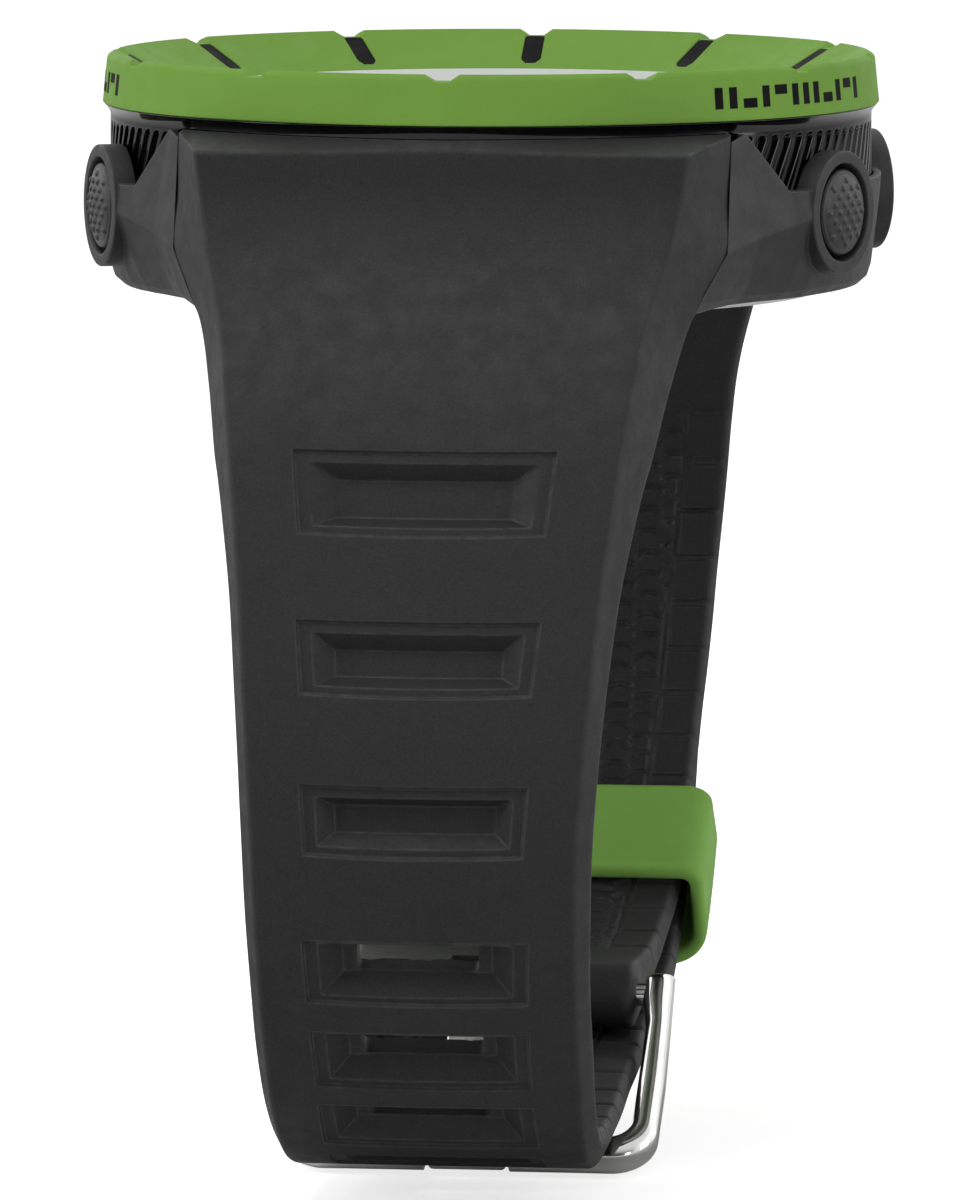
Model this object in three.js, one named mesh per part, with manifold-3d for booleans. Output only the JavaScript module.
// Wrist dive computer, strap buckled closed, in millimetres.
// Origin: the case axis at the outer face of the case back.
// +Z points out through the crystal, +X to 3 o'clock, -Y to 6 o'clock.
// Where a function takes a side, -1 is the 6 o'clock side and 1 the 12 o'clock side.
import * as THREE from 'three';
import { mergeVertices } from 'three/addons/utils/BufferGeometryUtils.js';
import Module from 'manifold-3d';

const wasm = await Module();
wasm.setup();

// ---------------------------------------------------------------- shared dimensions
const BEZEL = {
  outerR: 25.0, topR: 24.7, crestR: 24.3, innerR: 20.0,
  bottomZ: 14.0, wallZ: 17.0, crestZ: 17.2, innerZ: 14.75, notches: 12,
};
const CASE = {
  lipR: 24.9, upperR: 24.5, lowerR: 23.25, boreR: 19.0,
  lipZ: 13.95, bandZ: 13.4, stepZ: 8.6, bottomZ: 2.95,
};
const SHELL = {
  outerR: 25.2, upperBoreR: 24.6, lowerBoreR: 23.35, footBoreR: 21.45,
  stepZ: 8.5, topZ: 9.45, footZ: 2.3, lipZ: 2.9, footInset: 1.5,
};
const BACK = {
  outerR: 21.3, flatR: 12.2, flangeZ: 1.85, plateZ: 1.95, topZ: 2.9,
  skirtOuterR: 18.9, skirtInnerR: 17.95, skirtZ: 4.6,
};
// x values are distances from the case axis along the button's own axis
const BUTTON = {
  angles: { button_4h: -24, button_2h: 24, button_10h: 156, button_8h: 204 },
  z: 7.8, bossR: 3.9, bossFaceX: 26.15, bossChamfer: 0.3, holeR: 3.07, capR: 2.75,
  capInnerX: 24.9, stemR: 0.8, stemBoreR: 1.05, pocketR: 3.05, pocketFloorX: 22.9,
};
const DEPTH_SENSOR = { x: 8, y: -12 };
const LUG = { half: 7.0, barrelR: 1.5, pocketR: 1.75 };
const SPRING_BAR = { y: 26.2, z: 2.6, radius: 0.8, tipR: 0.45, half: 12.3, tipLength: 0.8 };
const HINGE = { y: 0.8, z: -44.1, barrelR: 2.2, barrelHalf: 9.6, pinR: 0.75, pinHalf: 11.7 };
const BAR = { y: -12.3, z: -52.6, radius: 1.15 };   // buckle bar that the tongue rests on
// the closed strap's lower arc on the 12 o'clock side: centre and inner radius
const ARC = { y: 3.3, z: -18.0, radius: 24.4 };
const SHORT_THICKNESS = 2.8;                        // short strap on the arc
const TAIL_OUTER = 5.85;                            // tail's outer face above the arc's radius

// ---------------------------------------------------------------- mesh and solid helpers
const radians = THREE.MathUtils.degToRad;
const vec3 = (x, y, z) => new THREE.Vector3(x, y, z);

function indexedGeometry(positions, indices) {
  const geometry = new THREE.BufferGeometry();
  geometry.setAttribute('position', new THREE.Float32BufferAttribute(positions, 3));
  return geometry.setIndex(indices);
}

// welds vertices, drops collapsed triangles and turns the faces outwards
function clean(geometry) {
  const bare = geometry.index ? geometry.toNonIndexed() : geometry.clone();
  for (const name of Object.keys(bare.attributes)) {
    if (name !== 'position') bare.deleteAttribute(name);
  }
  const welded = mergeVertices(bare, 1e-4);
  const indices = welded.index.array;
  const corner = index => vec3().fromBufferAttribute(welded.attributes.position, index);
  const kept = [];
  let volume = 0;
  for (let i = 0; i < indices.length; i += 3) {
    const [first, second, third] = indices.slice(i, i + 3);
    if (first === second || second === third || first === third) continue;
    kept.push(first, second, third);
    volume += corner(first).dot(corner(second).cross(corner(third)));
  }
  if (volume < 0) {
    for (let i = 0; i < kept.length; i += 3) {
      [kept[i + 1], kept[i + 2]] = [kept[i + 2], kept[i + 1]];
    }
  }
  welded.setIndex(kept);
  return welded;
}

function toSolid(geometry) {
  const welded = clean(geometry);
  return new wasm.Manifold(new wasm.Mesh({
    numProp: 3,
    vertProperties: new Float32Array(welded.attributes.position.array),
    triVerts: new Uint32Array(welded.index.array),
  }));
}

function toGeometry(solid) {
  const mesh = solid.getMesh();
  return clean(indexedGeometry(mesh.vertProperties, Array.from(mesh.triVerts)));
}

const union = (first, ...rest) => rest.reduce((sum, solid) => sum.add(solid), first);
const cut = (first, ...rest) => rest.reduce((body, solid) => body.subtract(solid), first);

// ---------------------------------------------------------------- shape helpers
const box = (x0, x1, y0, y1, z0, z1) => toSolid(
  new THREE.BoxGeometry(x1 - x0, y1 - y0, z1 - z0)
    .translate((x0 + x1) / 2, (y0 + y1) / 2, (z0 + z1) / 2));

// box centred on X = 0, with its near and far Y given as distances on one side
const sideBox = (side, halfX, near, far, z0, z1) => box(
  -halfX, halfX, Math.min(side * near, side * far), Math.max(side * near, side * far), z0, z1);

const cylinderZ = (radius, z0, z1, segments, x = 0, y = 0) => toSolid(
  new THREE.CylinderGeometry(radius, radius, z1 - z0, segments)
    .rotateX(Math.PI / 2).translate(x, y, (z0 + z1) / 2));

const cylinderX = (radius, half, segments, { y, z }) => toSolid(
  new THREE.CylinderGeometry(radius, radius, 2 * half, segments)
    .rotateZ(Math.PI / 2).translate(0, y, z));

// [radius, height] pairs; a profile that never touches the axis closes on itself
function turned(profile, segments) {
  const points = profile.map(([radius, height]) => new THREE.Vector2(radius, height));
  if (profile[0][0] > 0 || profile.at(-1)[0] > 0) points.push(points[0].clone());
  return new THREE.LatheGeometry(points, segments);
}
// [radius, z] pairs turned about Z
const latheZ = (profile, segments) => toSolid(turned(profile, segments).rotateX(Math.PI / 2));
// [x, radius] pairs turned about X
const latheX = (profile, segments) => toSolid(
  turned(profile.map(([x, radius]) => [radius, x]), segments).rotateZ(-Math.PI / 2));

const polygon = points => new THREE.Shape(points.map(([x, y]) => new THREE.Vector2(x, y)));

// closed loft through rings of equal length, ends closed by flat fans
function loft(rings) {
  const count = rings[0].length;
  const positions = rings.flat().flatMap(({ x, y, z }) => [x, y, z]);
  const indices = [];
  for (let i = 0; i + 1 < rings.length; i++) {
    for (let k = 0; k < count; k++) {
      const here = i * count + k;
      const next = i * count + (k + 1) % count;
      indices.push(here, next, here + count, next, next + count, here + count);
    }
  }
  const last = (rings.length - 1) * count;
  for (let k = 1; k + 1 < count; k++) {
    indices.push(0, k + 1, k);
    indices.push(last, last + k, last + k + 1);
  }
  return toSolid(indexedGeometry(positions, indices));
}

// turns a solid about the case axis, then lifts it
const aroundCase = (solid, degrees, z = 0) => toSolid(
  toGeometry(solid).rotateZ(radians(degrees)).translate(0, 0, z));
const atButtons = solid => Object.values(BUTTON.angles)
  .map(degrees => aroundCase(solid, degrees, BUTTON.z));

// ---------------------------------------------------------------- materials
const FINISH = {
  bezelGreen: { color: 0x6e963f, roughness: 0.62 },
  keeperGreen: { color: 0x628b3e, roughness: 0.7 },
  resin: { color: 0x333333, roughness: 0.75 },
  gloss: { color: 0x0a0a0b, roughness: 0.18 },
  steel: { color: 0xc6c8c6, roughness: 0.16, metalness: 1 },
  satinSteel: { color: 0xb2b4b4, roughness: 0.35, metalness: 1 },
  rubber: { color: 0x141414, roughness: 0.85 },
  crystal: { color: 0xdfe5e3, roughness: 0.05 },
  lcd: { color: 0xb9beb4, roughness: 0.3 },
  mask: { color: 0xd9dcdb, roughness: 0.5 },
  frame: { color: 0xdadcd8, roughness: 0.6 },
  board: { color: 0x14592f, roughness: 0.5 },
  brass: { color: 0xb59a52, roughness: 0.35, metalness: 1 },
  light: { color: 0x8fb7b0, roughness: 0.4 },
};

const root = new THREE.Group();
function add(name, shape, finish, parent = root) {
  const geometry = shape.isBufferGeometry ? clean(shape) : toGeometry(shape);
  const mesh = new THREE.Mesh(geometry, new THREE.MeshStandardMaterial(FINISH[finish]));
  mesh.name = name;
  parent.add(mesh);
}

// ---------------------------------------------------------------- strap paths
// point on the arc, in degrees below horizontal from the 12 o'clock side
const arcPoint = (above, degrees) => [
  ARC.y + (ARC.radius + above) * Math.cos(radians(degrees)),
  ARC.z - (ARC.radius + above) * Math.sin(radians(degrees)),
];
const TAIL_ARC = { start: 70, step: 7, end: 7 };
const SHORT_ARC = { start: -4, step: 7 };

// Columns: y, z, face half width, full half width, bevel depth, thickness.
// y and z follow the outer face, from the case to the free end.
const longKeys = [
  [-25.3, 12.5, 15.56, 17.42, 6.6, 9.0], [-25.6, 9.45, 15.14, 17.5, 6.4, 9.0],
  [-26.7, 6.2, 14.5, 17.55, 6.2, 9.0], [-28.1, 3.6, 13.8, 16.5, 6.0, 8.2],
  [-29.4, 1.5, 13.25, 15.3, 5.7, 7.0], [-31.0, -1.2, 12.85, 14.5, 4.9, 6.0],
  [-32.7, -4.8, 12.35, 13.75, 4.0, 5.0], [-34.1, -8.8, 11.85, 13.0, 3.2, 4.2],
  [-35.7, -14.0, 11.28, 12.2, 2.5, 3.5], [-37.1, -19.0, 10.85, 11.7, 2.1, 3.1],
  [-38.1, -24.0, 10.45, 11.3, 1.9, 2.9], [-38.6, -29.5, 10.07, 10.97, 1.7, 2.8],
  [-38.1, -34.5, 9.9, 10.8, 1.6, 2.7], [-36.7, -39.2, 9.8, 10.65, 1.5, 2.65],
  [-34.6, -43.5, 9.75, 10.6, 1.5, 2.6], [-31.7, -47.6, 9.65, 10.45, 1.5, 2.6],
  [-28.0, -50.4, 9.5, 10.3, 1.5, 2.6], [-24.2, -51.55, 9.4, 10.2, 1.5, 2.6],
  [-20.0, -51.85, 9.4, 10.15, 1.5, 2.6], [-16.0, -51.6, 9.35, 10.1, 1.5, 2.6],
  [-12.3, -51.2, 9.35, 10.1, 1.5, 2.6], [-8.0, -50.4, 9.35, 10.1, 1.5, 2.6],
  [-4.0, -49.95, 9.35, 10.1, 1.5, 2.6], [0.8, -49.3, 9.35, 10.1, 1.5, 2.6],
  [5.4, -48.5, 9.4, 10.15, 1.5, 2.6], [10.1, -47.4, 9.5, 10.25, 1.5, 2.6],
];
for (let degrees = TAIL_ARC.start; degrees > TAIL_ARC.end; degrees -= TAIL_ARC.step) {
  longKeys.push([...arcPoint(TAIL_OUTER, degrees), 9.75, 10.5, 1.5, 2.6]);
}
longKeys.push([...arcPoint(TAIL_OUTER, TAIL_ARC.end), 8.9, 9.5, 1.2, 2.2]);

// Columns: face half width, full half width, bevel depth; one row per step of SHORT_ARC.
const shortArcRows = [
  [11.15, 12.1, 1.8], [10.85, 11.75, 1.6], [10.6, 11.5, 1.5], [10.35, 11.25, 1.5],
  [10.1, 11.0, 1.5], [9.95, 10.85, 1.5], [9.85, 10.7, 1.5], [9.8, 10.65, 1.5],
  [9.8, 10.6, 1.5], [9.7, 10.45, 1.5], [9.5, 10.2, 1.5],
];
// Columns as in longKeys.
const shortKeys = [
  [25.3, 12.5, 15.56, 17.42, 6.6, 9.0], [25.6, 9.45, 15.14, 17.5, 6.4, 9.0],
  [26.7, 6.2, 14.5, 17.55, 6.2, 9.0], [28.0, 3.6, 13.8, 16.5, 5.6, 7.2],
  [28.8, 1.5, 13.25, 15.3, 4.4, 5.2], [29.4, -1.5, 12.9, 14.3, 3.6, 4.6],
  [29.75, -5.0, 12.3, 13.4, 3.0, 4.0], [29.95, -8.5, 11.9, 12.9, 2.6, 3.5],
  [30.2, -12.5, 11.5, 12.5, 2.2, 3.05],
  ...shortArcRows.map((row, i) => [
    ...arcPoint(SHORT_THICKNESS, SHORT_ARC.start + SHORT_ARC.step * i), ...row, SHORT_THICKNESS,
  ]),
  [10.6, -44.2, 9.45, 10.0, 1.5, 2.85], [6.4, -45.25, 9.35, 9.75, 1.5, 3.3],
  [3.2, -45.9, 9.3, 9.6, 1.5, 3.9], [0.8, -46.2, 9.3, 9.6, 1.5, 4.2],
];

// ---------------------------------------------------------------- strap bodies
const INNER_EDGE_INSET = 0.3;
// the section's inward normal is level above levelZ and square to the path turnSpan below it
const NORMAL = { levelZ: 2.0, turnSpan: 7.0 };

function strapSections(keys, grow) {
  const side = Math.sign(keys[0][0]);
  return keys.map(([y, z, faceHalf, fullHalf, bevel, thickness], i) => {
    const before = keys[Math.max(0, i - 1)];
    const after = keys[Math.min(keys.length - 1, i + 1)];
    const alongY = after[0] - before[0];
    const alongZ = after[1] - before[1];
    const length = Math.hypot(alongY, alongZ);
    const turn = THREE.MathUtils.clamp((NORMAL.levelZ - z) / NORMAL.turnSpan, 0, 1);
    let normalY = side * alongZ / length * turn - side * (1 - turn);
    let normalZ = -side * alongY / length * turn;
    const size = Math.hypot(normalY, normalZ);
    normalY /= size;
    normalZ /= size;
    const at = (x, depth) => vec3(x, y + normalY * depth, z + normalZ * depth);
    const face = faceHalf + grow;
    const full = fullHalf + grow;
    const inner = full - INNER_EDGE_INSET;
    return [
      at(-face, -grow), at(face, -grow), at(full, bevel),
      at(inner, thickness + grow), at(-inner, thickness + grow), at(-full, bevel),
    ];
  });
}

// space above the strap's top face, which leans from a straight outer edge to the round case
function aboveStrapTop(side, grow) {
  const top = { halfX: 18.6, stepX: 3.1, steps: 12, edgeY: 25.45, edgeZ: 12.35 };
  const caseSide = { radius: 24.65, z: 13.2 };
  const limit = { nearY: 14, farY: 28, z: 17 };
  const rings = [];
  for (let i = 0; i <= top.steps; i++) {
    const x = -top.halfX + top.stepX * i;
    rings.push([
      [limit.nearY, limit.z], [limit.farY, limit.z], [limit.farY, top.edgeZ],
      [top.edgeY, top.edgeZ], [Math.sqrt(caseSide.radius ** 2 - x * x), caseSide.z],
      [limit.nearY, caseSide.z],
    ].map(([y, z]) => vec3(x, side * y, z + grow)));
  }
  return loft(rings);
}

function strapBody(keys, grow = 0) {
  const rings = strapSections(keys, grow);
  rings.unshift(rings[0].map(({ x, y }) => vec3(x, y, BEZEL.bottomZ)));
  return cut(loft(rings), aboveStrapTop(Math.sign(keys[0][0]), grow));
}

// stepped round body that the straps clear by a gap
const ENVELOPE = { stepZ: 9.5, topZ: 16, segments: 64 };
const caseEnvelope = (gap, bottomZ) => union(
  cylinderZ(SHELL.outerR + gap, bottomZ, ENVELOPE.stepZ + gap, ENVELOPE.segments),
  cylinderZ(SHELL.upperBoreR + gap, ENVELOPE.stepZ, ENVELOPE.topZ, ENVELOPE.segments));

const barCentre = side => ({ y: side * SPRING_BAR.y, z: SPRING_BAR.z });

// ---------------------------------------------------------------- bezel ring
function bezelRing() {
  const ring = latheZ([
    [BEZEL.innerR, 14.3], [21.3, 14.3], [21.9, BEZEL.bottomZ], [BEZEL.outerR, BEZEL.bottomZ],
    [BEZEL.topR, BEZEL.wallZ], [BEZEL.crestR, BEZEL.crestZ], [BEZEL.innerR, BEZEL.innerZ],
  ], 48);
  // [x, z] section of the notch across the crest
  const notchSection = polygon([
    [-1.15, 17.25], [-1.3, 17.6], [1.3, 17.6], [1.15, 17.25], [0.5, 16.78], [-0.5, 16.78],
  ]);
  const notch = toGeometry(toSolid(
    new THREE.ExtrudeGeometry(notchSection, { depth: 4, bevelEnabled: false })
      .rotateX(Math.PI / 2).rotateZ(Math.PI).translate(0, 21.5, 0)));
  // shallow radial groove lying along the sloping top
  const groove = new THREE.BoxGeometry(1.26, 2.7, 0.6)
    .rotateX(radians(29.7)).translate(0, 22.05, 15.94);
  const tools = [];
  for (let k = 0; k < BEZEL.notches; k++) {
    const angle = radians(360 / BEZEL.notches * k);
    for (const tool of [notch, groove]) tools.push(toSolid(tool.clone().rotateZ(angle)));
  }
  return cut(ring, ...tools);
}
add('bezel_ring', bezelRing(), 'bezelGreen');

// ---------------------------------------------------------------- crystal stack
add('crystal', latheZ([
  [0, 12.4], [21.0, 12.4], [21.0, 13.95], [19.75, 13.95], [19.75, 14.65], [19.5, 14.85],
  [0, 14.85],
], 48), 'crystal');
add('crystal_gasket', latheZ([
  [20.05, 12.05], [21.55, 12.05], [21.55, 13.85], [21.15, 13.85], [21.15, 12.35],
  [20.05, 12.35],
], 32), 'rubber');
add('display_ring', latheZ([
  [16.6, 12.05], [19.9, 12.05], [19.9, 12.3], [16.6, 12.3],
], 32), 'mask');

// ---------------------------------------------------------------- inner case
function caseMiddle() {
  const body = latheZ([
    [CASE.boreR, CASE.bottomZ], [CASE.lowerR, CASE.bottomZ], [CASE.lowerR, CASE.stepZ],
    [CASE.upperR, CASE.stepZ], [CASE.upperR, CASE.bandZ], [CASE.lipR, CASE.lipZ],
    [21.65, CASE.lipZ], [21.65, 12.0], [17.3, 12.0], [17.3, 11.0], [CASE.boreR, 11.0],
  ], 48);
  const sealGroove = latheZ([[20.1, 2.5], [21.05, 2.5], [21.05, 3.7], [20.1, 3.7]], 36);
  const buttonBore = latheX([
    [17, 0], [17, BUTTON.stemBoreR], [BUTTON.pocketFloorX, BUTTON.stemBoreR],
    [BUTTON.pocketFloorX, BUTTON.pocketR], [27, BUTTON.pocketR], [27, 0],
  ], 14);
  return cut(body, sealGroove, ...atButtons(buttonBore));
}
add('case_middle', caseMiddle(), 'gloss');

// ---------------------------------------------------------------- resin outer shell
// points on one ray from the axis, from radii and heights of lower edge, crease, upper edge
function rayStation(degrees, radii, heights = [SHELL.footZ, 7.8, SHELL.topZ]) {
  const cos = Math.cos(radians(degrees));
  const sin = Math.sin(radians(degrees));
  return radii.map((radius, i) => [radius * cos, radius * sin, heights[i]]);
}

// splits the lower edge in two: an inset foot, and a point as far up towards the crease
function easeLowerEdge([lower, crease, upper]) {
  const radius = Math.hypot(lower[0], lower[1]);
  const shrink = (radius - SHELL.footInset) / radius;
  const rise = SHELL.footInset / (crease[2] - lower[2]);
  return [
    [lower[0] * shrink, lower[1] * shrink, lower[2]],
    lower.map((value, i) => value + (crease[i] - value) * rise),
    crease, upper,
  ];
}

const LUG_SIDE = [[24.7, 25.15, 25.15], [SHELL.footZ, 5.9, 8.5]];
// stations from 3 o'clock to 6 o'clock: [x, y, z] of lower edge, crease, upper edge
const quarter = [
  rayStation(0, [24.4, 25.06, SHELL.outerR]),
  rayStation(-8, [24.4, 25.08, SHELL.outerR]),
  rayStation(-16, [24.4, 25.15, 25.25]),
  rayStation(-23, [24.45, 25.3, 25.3]),
  [[21.6, -11.5, 2.3], [22.85, -12.55, 7.7], [22.65, -12.6, 9.4]],
  [[20.3, -13.6, 2.3], [22.2, -14.15, 7.62], [21.9, -14.2, 9.4]],
  [[19.5, -14.7, 2.3], [21.40, -15.13, 7.35], [20.89, -15.09, 9.42]],
  [[18.0, -17.0, 2.25], [19.35, -17.65, 6.65], [18.30, -17.38, 13.19]],
  [[15.7, -23.90, 2.17], [17.58, -20.95, 5.87], [17.5, -18.72, 12.74]],
  [[15.2, -22.2, 2.25], [15.4, -19.9, 5.9], [15.5, -19.83, 8.5]],
  rayStation(-65, ...LUG_SIDE),
  rayStation(-78, ...LUG_SIDE),
  rayStation(-90, ...LUG_SIDE),
].map(easeLowerEdge);

function shellBlank() {
  const mirrored = (signX, signY) => quarter.map(
    station => station.map(([x, y, z]) => [x * signX, y * signY, z]));
  const stations = [
    ...quarter,
    ...mirrored(-1, 1).reverse().slice(1),
    ...mirrored(-1, -1).slice(1),
    ...mirrored(1, -1).reverse().slice(1, -1),
  ];
  const count = stations.length;
  const bottom = count * 4;
  const top = bottom + 1;
  const positions = [...stations.flat(2), 0, 0, SHELL.footZ, 0, 0, 9.3];
  const indices = [];
  for (let i = 0; i < count; i++) {
    const here = 4 * i;
    const next = 4 * ((i + 1) % count);
    for (let k = 0; k < 3; k++) {
      indices.push(here + k, here + k + 1, next + k, next + k, here + k + 1, next + k + 1);
    }
    indices.push(here, next, bottom);
    indices.push(here + 3, top, next + 3);
  }
  return toSolid(indexedGeometry(positions, indices));
}

function caseShell() {
  const { bossR, bossFaceX, bossChamfer, holeR } = BUTTON;
  const boss = latheX([
    [20, 0], [20, bossR], [bossFaceX - bossChamfer, bossR], [bossFaceX, bossR - bossChamfer],
    [bossFaceX, 0],
  ], 20);
  const hole = latheX([[18, 0], [18, holeR], [28, holeR], [28, 0]], 18);
  let shell = union(shellBlank(), ...atButtons(boss));
  // centre lugs for the spring bars
  for (const side of [-1, 1]) {
    shell = union(shell,
      sideBox(side, LUG.half, 23.6, SPRING_BAR.y, SHELL.footZ, 4.1),
      cylinderX(LUG.barrelR, LUG.half, 20, barCentre(side)));
  }
  shell = cut(shell,
    cylinderZ(SHELL.footBoreR, 0, 4, 48),
    cylinderZ(SHELL.lowerBoreR, SHELL.lipZ, 12, 48),
    cylinderZ(SHELL.upperBoreR, SHELL.stepZ, 16, 48),
    ...atButtons(hole));
  // seats for the strap heads, sparing the lugs
  for (const [side, keys] of [[-1, longKeys], [1, shortKeys]]) {
    const lugSpace = sideBox(side, LUG.half + 0.2, 20, 28.1, -6, 4.4);
    shell = cut(shell,
      cut(strapBody(keys.slice(0, 8), 0.1), caseEnvelope(0.05, -8), lugSpace),
      cylinderX(SPRING_BAR.radius + 0.05, 9, 16, barCentre(side)));
  }
  return shell;
}
add('case_shell', caseShell(), 'resin');

// ---------------------------------------------------------------- case back and its seal
function caseBack() {
  const plate = latheZ([
    [0, 0], [BACK.flatR, 0], [12.9, 0.75], [19.4, 1.7], [21.1, BACK.flangeZ],
    [BACK.outerR, 2.05], [BACK.outerR, BACK.topZ], [BACK.skirtOuterR, BACK.topZ],
    [BACK.skirtOuterR, BACK.skirtZ], [BACK.skirtInnerR, BACK.skirtZ],
    [BACK.skirtInnerR, BACK.plateZ], [0, BACK.plateZ],
  ], 48);
  // small holes over the depth sensor
  const holes = [[0, 1], [-0.8, -0.6], [0.8, -0.6]].map(([x, y]) => cylinderZ(
    0.45, -1, 3, 10, DEPTH_SENSOR.x + x, DEPTH_SENSOR.y + y));
  // notches for a case key
  const keyNotch = box(15.6, 17.2, -0.9, 0.9, 0, 1.55);
  const notches = [30, 90, 150, 210, 270, 330].map(degrees => aroundCase(keyNotch, degrees));
  return cut(plate, ...holes, ...notches);
}
add('case_back', caseBack(), 'satinSteel');
const backSeal = new THREE.TorusGeometry(20.57, 0.34, 5, 32).translate(0, 0, 3.33);
add('case_back_seal', backSeal, 'rubber');

// ---------------------------------------------------------------- module, back to display
const FRAME_TOP_Z = 9.2;
const CONNECTOR = { half: 11, nearY: 12.3, farY: 13.7, bottomZ: 6.4 };
const BATTERY = { x: -5, bottomZ: 2.35 };
const CLIP = { reach: 10.6, halfY: 2.2, bottomZ: 2.08, plateZ: 2.3, armZ: 5.4, armX: 0.25 };

function moduleFrame() {
  const wall = latheZ([
    [16.95, 2.15], [17.75, 2.15], [17.75, 4.85], [18.6, 4.85], [18.6, FRAME_TOP_Z],
    [16.95, FRAME_TOP_Z],
  ], 40);
  const deck = latheZ([[0, 6.5], [17.0, 6.5], [17.0, FRAME_TOP_Z], [0, FRAME_TOP_Z]], 40);
  return cut(union(wall, deck),
    ...atButtons(box(16.4, 20, -1.9, 1.9, -1.25, 3)),
    ...[-1, 1].map(side => sideBox(side, CONNECTOR.half + 0.2,
      CONNECTOR.nearY - 0.25, CONNECTOR.farY + 0.25, 5, 10)));
}
add('module_frame', moduleFrame(), 'frame');

add('circuit_board', cut(cylinderZ(16.7, 5.45, 6.35, 40), box(-20, -16.1, -3, 3, 5, 7)), 'board');

add('battery', latheZ([
  [0, BATTERY.bottomZ], [9.6, BATTERY.bottomZ], [10, 2.75], [10, 4.95], [9.0, 5.0], [8.9, 5.3],
  [0, 5.3],
], 32).translate([BATTERY.x, 0, 0]), 'satinSteel');

// strip across the back of the battery with an arm up each end
function batteryClip() {
  const left = BATTERY.x - CLIP.reach;
  const right = BATTERY.x + CLIP.reach;
  const strip = (x0, x1, top) => box(x0, x1, -CLIP.halfY, CLIP.halfY, CLIP.bottomZ, top);
  const body = union(strip(left, right, CLIP.plateZ),
    strip(right - CLIP.armX, right, CLIP.armZ), strip(left, left + CLIP.armX, CLIP.armZ));
  return cut(body, cylinderZ(1, 1, 3, 12, BATTERY.x, 0));
}
add('battery_clip', batteryClip(), 'brass');

add('alarm_buzzer', latheZ([
  [0, 2.3], [4.4, 2.3], [4.4, 2.6], [3.6, 2.8], [3.6, 5.2], [0, 5.2],
], 28).translate([11.2, 0, 0]), 'brass');
add('depth_sensor', union(
  cylinderZ(2.3, 2.05, 4.2, 24, DEPTH_SENSOR.x, DEPTH_SENSOR.y),
  cylinderZ(1.5, 4.1, 5.3, 20, DEPTH_SENSOR.x, DEPTH_SENSOR.y)), 'satinSteel');
add('backlight_panel', cylinderZ(15.6, 9.25, 9.5, 40), 'light');
const display = union(cylinderZ(17.6, 9.6, 10.2, 40), cylinderZ(16.9, 10.15, 10.85, 40));
add('lcd_display', display, 'lcd');
for (const [name, side] of [['display_connector_12h', 1], ['display_connector_6h', -1]]) {
  const { half, nearY, farY, bottomZ } = CONNECTOR;
  add(name, sideBox(side, half, nearY, farY, bottomZ, FRAME_TOP_Z), 'rubber');
}

// ---------------------------------------------------------------- push buttons
class Coil extends THREE.Curve {
  constructor({ startX, endX, radius, turns }) {
    super();
    Object.assign(this, { startX, endX, radius, turns });
  }

  getPoint(fraction, target = vec3()) {
    const angle = 2 * Math.PI * this.turns * fraction;
    return target.set(this.startX + (this.endX - this.startX) * fraction,
      this.radius * Math.cos(angle), this.radius * Math.sin(angle));
  }
}

// cap and stem, with a groove for the clip at 18.6 and one for the seal at 20.5
function buttonPusher() {
  const { stemR, capInnerX, capR } = BUTTON;
  return latheX([
    [18.1, 0], [18.1, stemR], [18.6, stemR], [18.6, 0.5], [18.95, 0.5], [18.95, stemR],
    [20.5, stemR], [20.5, 0.52], [21.2, 0.52], [21.2, stemR], [capInnerX, stemR],
    [capInnerX, capR], [26.1, capR], [26.4, 1.7], [26.5, 0],
  ], 14);
}

const buttonSeal = () => latheX([[20.56, 0.58], [20.62, 0.98], [21.08, 0.98], [21.14, 0.58]], 12);

// open ring in the stem's inner groove
function buttonClip() {
  const ring = new THREE.Shape();
  ring.absarc(0, 0, 1.5, radians(35), radians(325), false);
  ring.absarc(0, 0, 0.58, radians(325), radians(35), true);
  ring.closePath();
  return new THREE.ExtrudeGeometry(ring, { depth: 0.24, bevelEnabled: false, curveSegments: 6 })
    .rotateY(Math.PI / 2).translate(18.66, 0, 0);
}

// return spring between the pocket floor and the cap
function buttonSpring() {
  const wireR = 0.14;
  const endGap = 0.22;   // wire centre to the surface at each end
  const wire = polygon([[wireR, 0], [0, wireR], [-wireR, 0], [0, -wireR]]);
  const extrudePath = new Coil({
    startX: BUTTON.pocketFloorX + endGap, endX: BUTTON.capInnerX - endGap,
    radius: 1.85, turns: 2.75,
  });
  return new THREE.ExtrudeGeometry(wire, {
    steps: 24, curveSegments: 3, bevelEnabled: false, extrudePath,
  });
}

for (const [name, degrees] of Object.entries(BUTTON.angles)) {
  const holder = new THREE.Group();
  holder.rotation.z = radians(degrees);
  holder.position.z = BUTTON.z;
  root.add(holder);
  add(`${name}_pusher`, buttonPusher(), 'resin', holder);
  add(`${name}_seal`, buttonSeal(), 'rubber', holder);
  add(`${name}_clip`, buttonClip(), 'steel', holder);
  add(`${name}_spring`, buttonSpring(), 'steel', holder);
}

// ---------------------------------------------------------------- long strap, 6 o'clock
// path length from the first key to each key
const longLengths = [0];
for (let i = 1; i < longKeys.length; i++) {
  const [y, z] = longKeys[i];
  const [lastY, lastZ] = longKeys[i - 1];
  longLengths.push(longLengths[i - 1] + Math.hypot(y - lastY, z - lastZ));
}

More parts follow.
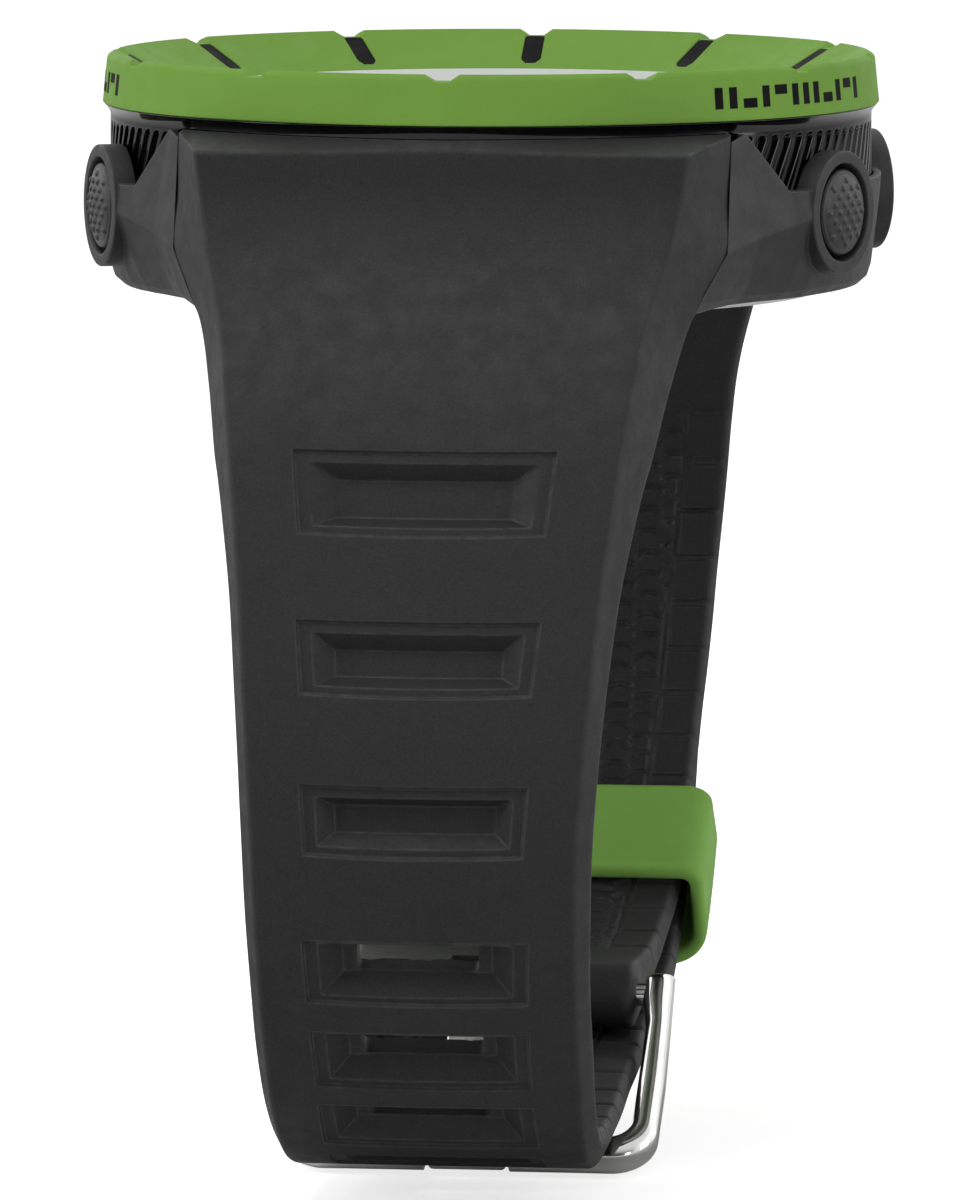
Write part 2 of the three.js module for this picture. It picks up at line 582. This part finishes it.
function longPointAt(length) {
  let i = 1;
  while (i < longLengths.length - 1 && longLengths[i] < length) i++;
  const fraction = (length - longLengths[i - 1]) / (longLengths[i] - longLengths[i - 1]);
  const [startY, startZ] = longKeys[i - 1];
  const stepY = longKeys[i][0] - startY;
  const stepZ = longKeys[i][1] - startZ;
  return {
    y: startY + stepY * fraction, z: startZ + stepZ * fraction,
    angle: Math.atan2(stepZ, stepY),
  };
}

// path length where the strap first comes down to a height
function longLengthAtZ(z) {
  let i = 1;
  while (longKeys[i][1] > z) i++;
  const fraction = (longKeys[i - 1][1] - z) / (longKeys[i - 1][1] - longKeys[i][1]);
  return longLengths[i - 1] + fraction * (longLengths[i] - longLengths[i - 1]);
}

// block set square on the outer face; depths run inwards, taper narrows the deep end
function blockOnLong(length, { halfX, halfLength, start, end, taper = 0 }) {
  const { y, z, angle } = longPointAt(length);
  const cos = Math.cos(angle);
  const sin = Math.sin(angle);
  const ring = (depth, inset) => [[-1, -1], [1, -1], [1, 1], [-1, 1]].map(([signX, sign]) => {
    const along = sign * (halfLength - inset);
    return vec3(signX * (halfX - inset),
      y + cos * along - sin * depth, z + sin * along + cos * depth);
  });
  return loft([ring(start, 0), ring(end, taper)]);
}

// room in a strap for the case lug and the spring bar
const lugPocket = side => {
  const half = LUG.half + 0.3;
  return union(
    sideBox(side, half, 20, 26.3, -1.5, 4.35),
    sideBox(side, half, 20, SPRING_BAR.y + LUG.pocketR, -1.5, SPRING_BAR.z),
    cylinderX(LUG.pocketR, half, 20, barCentre(side)));
};
const springBarHole = side => cylinderX(
  SPRING_BAR.radius + 0.08, SPRING_BAR.half + 0.4, 16, barCentre(side));
const strapBlank = (side, keys) => cut(
  strapBody(keys), caseEnvelope(0.1, -3), lugPocket(side), springBarHole(side));

// shallow windows: upper z, lower z, half width
const WINDOWS = [[-5.48, -10.47, 6.9], [-15.71, -20.14, 6.45], [-25.67, -29.98, 5.95]];
const WINDOW_END_INSET = 0.7;
// tongue slots; endMargin is the path left beyond which no further slot is added
const SLOT = {
  halfX: 3.8, halfLength: 1.1, firstZ: -36.9, firstPitch: 6.5, pitch: 5.9, endMargin: 14,
};
const TONGUE = { y: -6.3, z: -50.3 };   // where the tongue passes through the strap

function strapLong() {
  const windows = WINDOWS.map(([upperZ, lowerZ, halfX]) => {
    const from = longLengthAtZ(upperZ);
    const to = longLengthAtZ(lowerZ);
    const halfLength = (to - from) / 2 - WINDOW_END_INSET;
    return blockOnLong((from + to) / 2, { halfX, halfLength, start: -0.4, end: 1.1, taper: 1.2 });
  });
  const firstSlot = longLengthAtZ(SLOT.firstZ);
  const slots = [firstSlot, firstSlot + SLOT.firstPitch];
  while (slots.at(-1) < longLengths.at(-1) - SLOT.endMargin) slots.push(slots.at(-1) + SLOT.pitch);
  const toTongue = length => {
    const { y, z } = longPointAt(length);
    return Math.hypot(y - TONGUE.y, z - TONGUE.z);
  };
  const engaged = slots.reduce((best, slot) => (toTongue(slot) < toTongue(best) ? slot : best));
  const freeSlots = slots.filter(slot => slot !== engaged).map(slot => blockOnLong(
    slot, { halfX: SLOT.halfX, halfLength: SLOT.halfLength, start: -1, end: 4.5 }));
  // the slot the tongue is in, pulled long by the tongue
  const pulledSlot = box(-SLOT.halfX, SLOT.halfX, -10.4, -1.6, -52.5, -46.0);
  return cut(strapBlank(-1, longKeys), ...windows, ...freeSlots, pulledSlot);
}
add('strap_long', strapLong(), 'resin');

// ---------------------------------------------------------------- short strap, 12 o'clock
function strapShort() {
  const barrel = cylinderX(HINGE.barrelR, HINGE.barrelHalf, 28, HINGE);
  const tongueGap = box(-2.9, 2.9, -3, 3.6, -48, -40);
  const pinHole = cylinderX(HINGE.pinR + 0.06, 12, 20, HINGE);
  return cut(union(strapBlank(1, shortKeys), barrel), tongueGap, pinHole);
}
add('strap_short', strapShort(), 'resin');

function springBar(side) {
  const { half, radius, tipR, tipLength, y, z } = SPRING_BAR;
  const shoulder = half - tipLength;
  return latheX([
    [-half, 0], [-half, tipR], [-shoulder, tipR], [-shoulder, radius],
    [shoulder, radius], [shoulder, tipR], [half, tipR], [half, 0],
  ], 16).translate([0, side * y, z]);
}
add('spring_bar_6h', springBar(-1), 'steel');
add('spring_bar_12h', springBar(1), 'steel');

// ---------------------------------------------------------------- buckle
// axes at the hinge: across the strap, along to the bar, and away from the wrist
const toBarY = BAR.y - HINGE.y;
const toBarZ = BAR.z - HINGE.z;
const reach = Math.hypot(toBarY, toBarZ);
const ACROSS = vec3(1, 0, 0);
const ALONG = vec3(0, toBarY / reach, toBarZ / reach);
const OUTWARD = vec3(0, -toBarZ / reach, toBarY / reach);
const placeAtHinge = (geometry, ...axes) => geometry
  .applyMatrix4(new THREE.Matrix4().makeBasis(...axes)).translate(0, HINGE.y, HINGE.z);

const FRAME = {
  half: 12.15, halfAtPin: 11.85, inside: 10.4, insideAtPin: 9.95,
  corner: 2.9, insideCorner: 1.6, pinEnd: -1.55, shoulder: 9,
  bevelDepth: 0.65, bevelWidth: 0.55,
};

// x across, y along from the pin
function frameOutline() {
  const { half, halfAtPin, inside, insideAtPin, corner, insideCorner, pinEnd, shoulder } = FRAME;
  const pinSide = pinEnd + 0.5;
  const barFar = reach + BAR.radius;
  const barNear = reach - BAR.radius;
  const farCentre = barFar - corner;
  const nearCentre = barNear - insideCorner;
  const quarterTurn = Math.PI / 2;
  const outline = new THREE.Shape();
  const lines = points => points.forEach(([x, y]) => outline.lineTo(x, y));
  outline.moveTo(-halfAtPin, pinSide);
  lines([[-half, shoulder], [-half, farCentre]]);
  outline.absarc(-half + corner, farCentre, corner, Math.PI, quarterTurn, true);
  outline.lineTo(half - corner, barFar);
  outline.absarc(half - corner, farCentre, corner, quarterTurn, 0, true);
  lines([
    [half, shoulder], [halfAtPin, pinSide], [halfAtPin - 0.4, pinEnd],
    [insideAtPin + 0.4, pinEnd], [insideAtPin, pinSide], [insideAtPin, 1.2],
    [inside, 3.6], [inside, nearCentre],
  ]);
  outline.absarc(inside - insideCorner, nearCentre, insideCorner, 0, quarterTurn, false);
  outline.lineTo(-inside + insideCorner, barNear);
  outline.absarc(-inside + insideCorner, nearCentre, insideCorner, quarterTurn, Math.PI, false);
  lines([
    [-inside, 3.6], [-insideAtPin, 1.2], [-insideAtPin, pinSide],
    [-insideAtPin - 0.4, pinEnd], [-halfAtPin + 0.4, pinEnd],
  ]);
  outline.closePath();
  return outline;
}

function buckleFrame() {
  const depth = 2 * BAR.radius - 2 * FRAME.bevelDepth;
  const blank = new THREE.ExtrudeGeometry(frameOutline(), {
    depth, bevelEnabled: true, bevelThickness: FRAME.bevelDepth, bevelSize: FRAME.bevelWidth,
    bevelOffset: -FRAME.bevelWidth, bevelSegments: 1, curveSegments: 5,
  }).translate(0, 0, -depth / 2);
  // seat for the tongue on the bar's outward side
  const seat = new THREE.BoxGeometry(5.5, 6, 3).translate(0, reach, 1.52);
  return cut(toSolid(placeAtHinge(blank, ACROSS, ALONG, OUTWARD)),
    cylinderX(HINGE.pinR + 0.06, 13, 20, HINGE),
    toSolid(placeAtHinge(seat, ACROSS, ALONG, OUTWARD)));
}

function buckleTongue() {
  const width = 5.0;
  // [along, outward] outline
  const outline = polygon([
    [1.0, -0.6], [5.0, -0.55], [9.0, -0.25], [12.6, 0.1], [16.4, 0.1], [16.6, 0.5],
    [16.2, 1.0], [13.6, 1.15], [9.0, 0.95], [5.0, 0.65], [1.0, 0.6],
  ]);
  const blade = new THREE.ExtrudeGeometry(outline, { depth: width, bevelEnabled: false })
    .translate(0, 0, -width / 2);
  const eye = cylinderX(1.75, width / 2, 24, HINGE);
  return cut(union(toSolid(placeAtHinge(blank(blade), ALONG, OUTWARD, ACROSS)), eye),
    cylinderX(HINGE.pinR + 0.08, 4, 20, HINGE));
  function blank(geometry) { return geometry; }
}
add('buckle_frame', buckleFrame(), 'steel');
add('buckle_pin', cylinderX(HINGE.pinR, HINGE.pinHalf, 20, HINGE), 'steel');
add('buckle_tongue', buckleTongue(), 'steel');

// ---------------------------------------------------------------- keeper loop
// rounded rectangle swept along the arc, angles in degrees below horizontal
function arcSweep({ innerR, outerR, half, innerCorner, outerCorner, from, to, steps }) {
  const rings = [];
  for (let i = 0; i <= steps; i++) {
    const angle = radians(from + (to - from) * i / steps);
    const ring = [];
    [[1, 1], [-1, 1], [-1, -1], [1, -1]].forEach(([signX, signR], quadrant) => {
      const corner = signR > 0 ? outerCorner : innerCorner;
      for (let k = 0; k <= 4; k++) {
        const turn = radians(k * 22.5) + quadrant * Math.PI / 2;
        const x = signX * (half - corner) + corner * Math.cos(turn);
        const radius = (innerR + outerR) / 2 + signR * ((outerR - innerR) / 2 - corner)
          + corner * Math.sin(turn);
        ring.push(vec3(x, ARC.y + radius * Math.cos(angle), ARC.z - radius * Math.sin(angle)));
      }
    });
    rings.push(ring);
  }
  return loft(rings);
}

const KEEPER_GAP = 0.2;   // clearance to the two straps inside
add('keeper_loop', cut(
  arcSweep({
    innerR: 22.9, outerR: 31.6, half: 12.15, innerCorner: 1.7, outerCorner: 3.0,
    from: 40.1, to: 58.9, steps: 4,
  }),
  arcSweep({
    innerR: ARC.radius - KEEPER_GAP, outerR: ARC.radius + TAIL_OUTER + KEEPER_GAP, half: 11.2,
    innerCorner: 0.5, outerCorner: 1.9, from: 36, to: 63, steps: 6,
  })), 'keeperGreen');

export default root;
